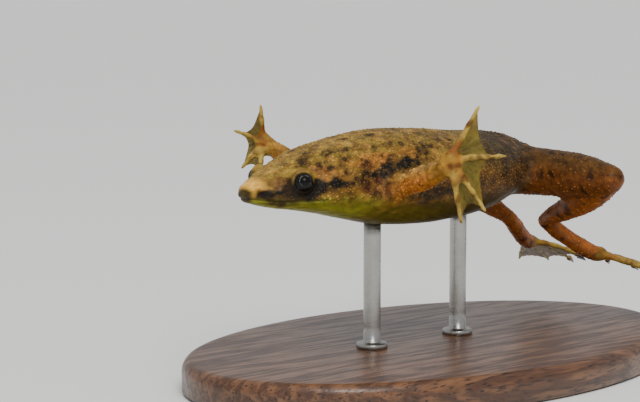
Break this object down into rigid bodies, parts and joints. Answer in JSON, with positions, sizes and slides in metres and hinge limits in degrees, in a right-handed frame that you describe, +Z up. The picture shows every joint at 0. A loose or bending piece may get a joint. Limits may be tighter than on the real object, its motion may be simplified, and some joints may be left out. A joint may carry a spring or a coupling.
{
  "type": "african dwarf frog",
  "caption": "Life-size still model of a small swimming frog with a flat pointed head, outstretched webbed hands and folded hind legs, held above an oval base by two short rods.",
  "frame": {"origin": "centre of the stand's flat underside, on the table", "axes": "+X towards the frog's snout, along the body; +Y towards the frog's left; +Z up"},
  "size_m": [0.0546, 0.034, 0.0261],
  "materials": {
    "skin": "wet",
    "belly_skin": "wet",
    "web_skin": "wet",
    "eye": "polished",
    "claw": "satin",
    "stand_wood": "oiled",
    "stand_steel": "brushed"
  },
  "bodies": {
    "root": {"torso": "skin", "head": "skin", "lower_jaw": "belly_skin", "eye_left": "eye", "eye_right": "eye", "upper_arm_left": "skin", "upper_arm_right": "skin", "forearm_left": "skin", "forearm_right": "skin", "hand_left": "web_skin", "hand_right": "web_skin", "thigh_left": "skin", "thigh_right": "skin", "shank_left": "skin", "shank_right": "skin", "tarsus_left": "skin", "tarsus_right": "skin", "foot_left": "web_skin", "foot_right": "web_skin", "claw_left_1": "claw", "claw_left_2": "claw", "claw_left_3": "claw", "claw_right_1": "claw", "claw_right_2": "claw", "claw_right_3": "claw", "stand_base": "stand_wood", "stand_rod_front": "stand_steel", "stand_rod_rear": "stand_steel"}
  },
  "joints": []
}
